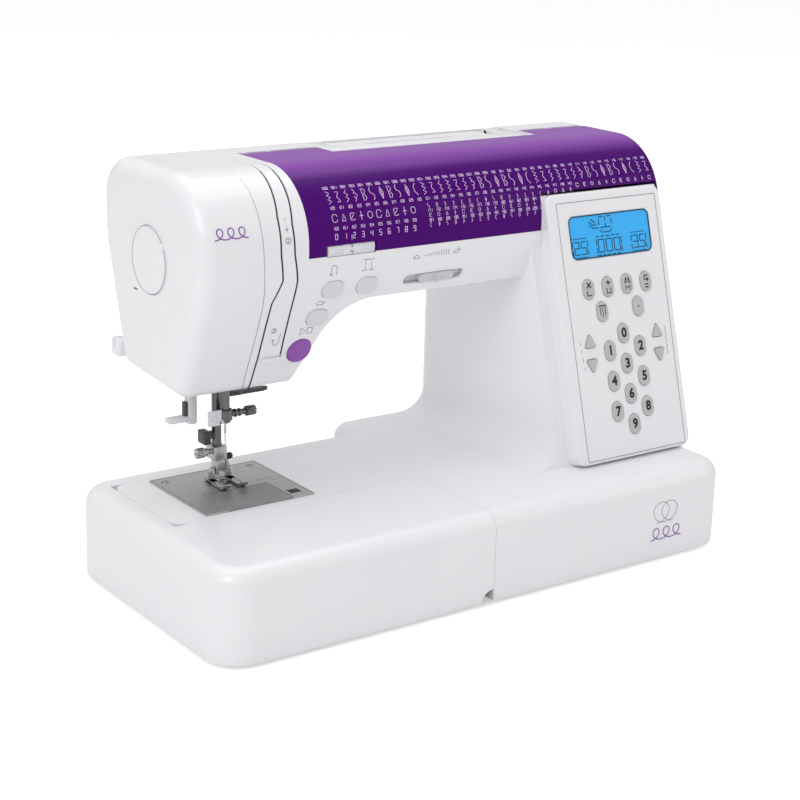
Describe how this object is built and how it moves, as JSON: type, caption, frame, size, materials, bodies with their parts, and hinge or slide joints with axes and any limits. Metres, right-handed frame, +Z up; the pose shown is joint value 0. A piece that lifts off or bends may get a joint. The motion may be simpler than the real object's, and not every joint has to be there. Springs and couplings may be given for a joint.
{
  "type": "sewing machine",
  "caption": "Computerised free-arm sewing machine with a hinged lid, leaning key panel, lit screen, slide-off bed and handwheel.",
  "frame": {"origin": "bottom centre of the whole machine, on the table under its feet", "axes": "+X runs to the handwheel end, +Y to the back of the machine, +Z up"},
  "size_m": [0.462, 0.237, 0.292],
  "materials": {
    "white_body": "glossy white",
    "base_plastic": "matte",
    "feet_rubber": "matte",
    "plate_steel": "brushed",
    "smoked_window": "clear smoked",
    "feed_steel": "satin",
    "hook_plastic": "satin",
    "bobbin_clear": "clear",
    "cast_frame": "as cast",
    "shaft_steel": "ground",
    "wheel_plastic": "glossy",
    "motor_metal": "satin",
    "belt_rubber": "matte",
    "bar_chrome": "polished",
    "needle_chrome": "polished",
    "clamp_metal": "satin",
    "holder_metal": "satin",
    "foot_chrome": "polished",
    "release_plastic": "glossy black",
    "threader_plastic": "satin white",
    "lifter_plastic": "satin",
    "lever_steel": "satin",
    "purple_lid": "glossy dark purple",
    "handle_plastic": "glossy white",
    "spool_plastic": "satin",
    "winder_plastic": "satin",
    "button_plastic": "satin",
    "purple_button": "glossy purple",
    "dial_plastic": "satin",
    "switch_plastic": "satin",
    "panel_plastic": "glossy",
    "screen_glass": "lit cyan",
    "board_plastic": "satin green",
    "key_plastic": "satin"
  },
  "bodies": {
    "machine": {"rear_cover": "white_body", "face_cover": "white_body", "front_cover": "white_body", "bottom_tray": "base_plastic", "rubber_feet": "feet_rubber", "free_arm_housing": "white_body", "needle_plate": "plate_steel", "frame_casting": "cast_frame", "main_motor": "motor_metal", "drive_belt": "belt_rubber", "control_panel": "panel_plastic", "lcd_module": "screen_glass", "circuit_board": "board_plastic", "spool_pin": "spool_plastic"},
    "drive": {"arm_shaft": "shaft_steel", "handwheel": "wheel_plastic"},
    "hook": {"rotary_hook": "hook_plastic"},
    "thread_bobbin": {"bobbin": "bobbin_clear"},
    "needle_set": {"needle_bar": "bar_chrome", "needle": "needle_chrome", "needle_clamp": "clamp_metal"},
    "take_up": {"take_up_lever": "lever_steel"},
    "presser_set": {"presser_bar": "bar_chrome", "foot_holder": "holder_metal"},
    "foot": {"presser_foot": "foot_chrome"},
    "release": {"foot_release": "release_plastic"},
    "lifter": {"presser_lifter": "lifter_plastic"},
    "threader": {"needle_threader": "threader_plastic"},
    "feed": {"feed_dog": "feed_steel"},
    "slide_cover": {"bobbin_cover": "smoked_window"},
    "table": {"extension_table": "white_body"},
    "lid": {"top_lid": "purple_lid"},
    "handle": {"carry_handle": "handle_plastic"},
    "tension": {"tension_dial": "dial_plastic"},
    "pressure": {"pressure_dial": "dial_plastic"},
    "speed": {"speed_slider": "button_plastic"},
    "winder": {"bobbin_winder": "winder_plastic"},
    "power": {"power_switch": "switch_plastic"},
    "width_pads": {"width_rocker": "key_plastic"},
    "length_pads": {"length_rocker": "key_plastic"},
    "reverse_button_cap": {"reverse_button": "button_plastic"},
    "needle_button_cap": {"needle_button": "button_plastic"},
    "slow_button_cap": {"slow_button": "button_plastic"},
    "start_stop_button_cap": {"start_stop_button": "purple_button"},
    "digit_key_0_cap": {"digit_key_0": "key_plastic"},
    "digit_key_1_cap": {"digit_key_1": "key_plastic"},
    "digit_key_2_cap": {"digit_key_2": "key_plastic"},
    "digit_key_3_cap": {"digit_key_3": "key_plastic"},
    "digit_key_4_cap": {"digit_key_4": "key_plastic"},
    "digit_key_5_cap": {"digit_key_5": "key_plastic"},
    "digit_key_6_cap": {"digit_key_6": "key_plastic"},
    "digit_key_7_cap": {"digit_key_7": "key_plastic"},
    "digit_key_8_cap": {"digit_key_8": "key_plastic"},
    "digit_key_9_cap": {"digit_key_9": "key_plastic"},
    "clear_key_cap": {"clear_key": "key_plastic"},
    "memory_key_cap": {"memory_key": "key_plastic"},
    "mirror_key_cap": {"mirror_key": "key_plastic"},
    "repeat_key_cap": {"repeat_key": "key_plastic"},
    "needle_key_cap": {"needle_key": "key_plastic"},
    "density_key_cap": {"density_key": "key_plastic"}
  },
  "joints": [
    {"name": "handwheel_turn", "type": "hinge", "parent": "machine", "child": "drive", "pos_m": [0.209, 0.0415, 0.216], "axis": [1, 0, 0], "continuous": true},
    {"name": "hook_turn", "type": "hinge", "parent": "machine", "child": "hook", "pos_m": [-0.1437, 0.0025, 0.03], "axis": [0, 0, 1], "continuous": true},
    {"name": "bobbin_turn", "type": "hinge", "parent": "machine", "child": "thread_bobbin", "pos_m": [-0.1437, 0.0025, 0.045], "axis": [0, 0, 1], "continuous": true},
    {"name": "needle_bar_slide", "type": "slide", "parent": "machine", "child": "needle_set", "axis": [0, 0, 1], "range_m": [-0.0275, 0]},
    {"name": "take_up_turn", "type": "hinge", "parent": "machine", "child": "take_up", "pos_m": [-0.127, 0.0465, 0.24], "axis": [1, 0, 0], "range_deg": [0, 40]},
    {"name": "presser_slide", "type": "slide", "parent": "machine", "child": "presser_set", "axis": [0, 0, 1], "range_m": [0, 0.006], "stiffness_N_per_m": 200, "springref_m": -0.01},
    {"name": "lifter_turn", "type": "hinge", "parent": "machine", "child": "lifter", "pos_m": [-0.1267, 0.0525, 0.139], "axis": [0, 0, -1], "range_deg": [0, 61]},
    {"name": "foot_tilt", "type": "hinge", "parent": "presser_set", "child": "foot", "pos_m": [-0.1437, 0.0355, 0.076], "axis": [1, 0, 0], "range_deg": [-8, 0]},
    {"name": "foot_release_press", "type": "hinge", "parent": "presser_set", "child": "release", "pos_m": [-0.1367, 0.0405, 0.084], "axis": [1, 0, 0], "range_deg": [0, 20], "stiffness_Nm_per_rad": 0.01},
    {"name": "threader_slide", "type": "slide", "parent": "machine", "child": "threader", "axis": [0, 0, -1], "range_m": [0, 0.011], "stiffness_N_per_m": 60, "springref_m": -0.002},
    {"name": "feed_slide", "type": "slide", "parent": "machine", "child": "feed", "axis": [0, 1, 0], "range_m": [-0.0015, 0.0015]},
    {"name": "bobbin_cover_slide", "type": "slide", "parent": "machine", "child": "slide_cover", "axis": [0, -1, 0], "range_m": [0, 0.04]},
    {"name": "table_slide", "type": "slide", "parent": "machine", "child": "table", "axis": [-1, 0, 0], "range_m": [0, 0.22]},
    {"name": "lid_hinge", "type": "hinge", "parent": "machine", "child": "lid", "pos_m": [0, 0.07, 0.289], "axis": [-1, 0, 0], "range_deg": [0, 75]},
    {"name": "handle_hinge", "type": "hinge", "parent": "machine", "child": "handle", "pos_m": [0.049, 0.0915, 0.2865], "axis": [-1, 0, 0], "range_deg": [0, 90]},
    {"name": "tension_dial_turn", "type": "hinge", "parent": "machine", "child": "tension", "pos_m": [-0.0745, -0.0149, 0.2382], "axis": [1, 0, 0], "range_deg": [-140, 140]},
    {"name": "pressure_dial_turn", "type": "hinge", "parent": "machine", "child": "pressure", "pos_m": [-0.189, 0.0475, 0.2295], "axis": [1, 0, 0], "range_deg": [-150, 150]},
    {"name": "speed_slide", "type": "slide", "parent": "machine", "child": "speed", "axis": [1, 0, 0], "range_m": [-0.012, 0.008]},
    {"name": "winder_slide", "type": "slide", "parent": "machine", "child": "winder", "axis": [1, 0, 0], "range_m": [0, 0.005]},
    {"name": "power_rock", "type": "hinge", "parent": "machine", "child": "power", "pos_m": [0.207, 0.0605, 0.042], "axis": [0, 1, 0], "range_deg": [-5, 5]},
    {"name": "reverse_button_press", "type": "slide", "parent": "machine", "child": "reverse_button_cap", "axis": [0, 0.9281, 0.3724], "range_m": [0, 0.0012], "stiffness_N_per_m": 300},
    {"name": "needle_button_press", "type": "slide", "parent": "machine", "child": "needle_button_cap", "axis": [0, 0.9281, 0.3724], "range_m": [0, 0.0012], "stiffness_N_per_m": 300},
    {"name": "slow_button_press", "type": "slide", "parent": "machine", "child": "slow_button_cap", "axis": [0, 0.9281, 0.3724], "range_m": [0, 0.0012], "stiffness_N_per_m": 300},
    {"name": "start_stop_button_press", "type": "slide", "parent": "machine", "child": "start_stop_button_cap", "axis": [0, 0.9281, 0.3724], "range_m": [0, 0.0012], "stiffness_N_per_m": 300},
    {"name": "digit_key_0_press", "type": "slide", "parent": "machine", "child": "digit_key_0_cap", "axis": [0, 0.9613, -0.2756], "range_m": [0, 0.001], "stiffness_N_per_m": 300},
    {"name": "digit_key_1_press", "type": "slide", "parent": "machine", "child": "digit_key_1_cap", "axis": [0, 0.9613, -0.2756], "range_m": [0, 0.001], "stiffness_N_per_m": 300},
    {"name": "digit_key_2_press", "type": "slide", "parent": "machine", "child": "digit_key_2_cap", "axis": [0, 0.9613, -0.2756], "range_m": [0, 0.001], "stiffness_N_per_m": 300},
    {"name": "digit_key_3_press", "type": "slide", "parent": "machine", "child": "digit_key_3_cap", "axis": [0, 0.9613, -0.2756], "range_m": [0, 0.001], "stiffness_N_per_m": 300},
    {"name": "digit_key_4_press", "type": "slide", "parent": "machine", "child": "digit_key_4_cap", "axis": [0, 0.9613, -0.2756], "range_m": [0, 0.001], "stiffness_N_per_m": 300},
    {"name": "digit_key_5_press", "type": "slide", "parent": "machine", "child": "digit_key_5_cap", "axis": [0, 0.9613, -0.2756], "range_m": [0, 0.001], "stiffness_N_per_m": 300},
    {"name": "digit_key_6_press", "type": "slide", "parent": "machine", "child": "digit_key_6_cap", "axis": [0, 0.9613, -0.2756], "range_m": [0, 0.001], "stiffness_N_per_m": 300},
    {"name": "digit_key_7_press", "type": "slide", "parent": "machine", "child": "digit_key_7_cap", "axis": [0, 0.9613, -0.2756], "range_m": [0, 0.001], "stiffness_N_per_m": 300},
    {"name": "digit_key_8_press", "type": "slide", "parent": "machine", "child": "digit_key_8_cap", "axis": [0, 0.9613, -0.2756], "range_m": [0, 0.001], "stiffness_N_per_m": 300},
    {"name": "digit_key_9_press", "type": "slide", "parent": "machine", "child": "digit_key_9_cap", "axis": [0, 0.9613, -0.2756], "range_m": [0, 0.001], "stiffness_N_per_m": 300},
    {"name": "clear_key_press", "type": "slide", "parent": "machine", "child": "clear_key_cap", "axis": [0, 0.9613, -0.2756], "range_m": [0, 0.001], "stiffness_N_per_m": 300},
    {"name": "memory_key_press", "type": "slide", "parent": "machine", "child": "memory_key_cap", "axis": [0, 0.9613, -0.2756], "range_m": [0, 0.001], "stiffness_N_per_m": 300},
    {"name": "mirror_key_press", "type": "slide", "parent": "machine", "child": "mirror_key_cap", "axis": [0, 0.9613, -0.2756], "range_m": [0, 0.001], "stiffness_N_per_m": 300},
    {"name": "repeat_key_press", "type": "slide", "parent": "machine", "child": "repeat_key_cap", "axis": [0, 0.9613, -0.2756], "range_m": [0, 0.001], "stiffness_N_per_m": 300},
    {"name": "needle_key_press", "type": "slide", "parent": "machine", "child": "needle_key_cap", "axis": [0, 0.9613, -0.2756], "range_m": [0, 0.001], "stiffness_N_per_m": 300},
    {"name": "density_key_press", "type": "slide", "parent": "machine", "child": "density_key_cap", "axis": [0, 0.9613, -0.2756], "range_m": [0, 0.001], "stiffness_N_per_m": 300},
    {"name": "width_rock", "type": "hinge", "parent": "machine", "child": "width_pads", "pos_m": [0.1172, -0.05225, 0.14555], "axis": [1, 0, 0], "range_deg": [-3, 3], "stiffness_Nm_per_rad": 0.02},
    {"name": "length_rock", "type": "hinge", "parent": "machine", "child": "length_pads", "pos_m": [0.184, -0.05225, 0.14555], "axis": [1, 0, 0], "range_deg": [-3, 3], "stiffness_Nm_per_rad": 0.02}
  ],
  "couplings": [
    {"joint": "hook_turn", "follows": "handwheel_turn", "ratio": 2},
    {"joint": "take_up_turn", "follows": "needle_bar_slide", "rad_per_m": -25},
    {"joint": "lifter_turn", "follows": "presser_slide", "rad_per_m": 174.5}
  ]
}
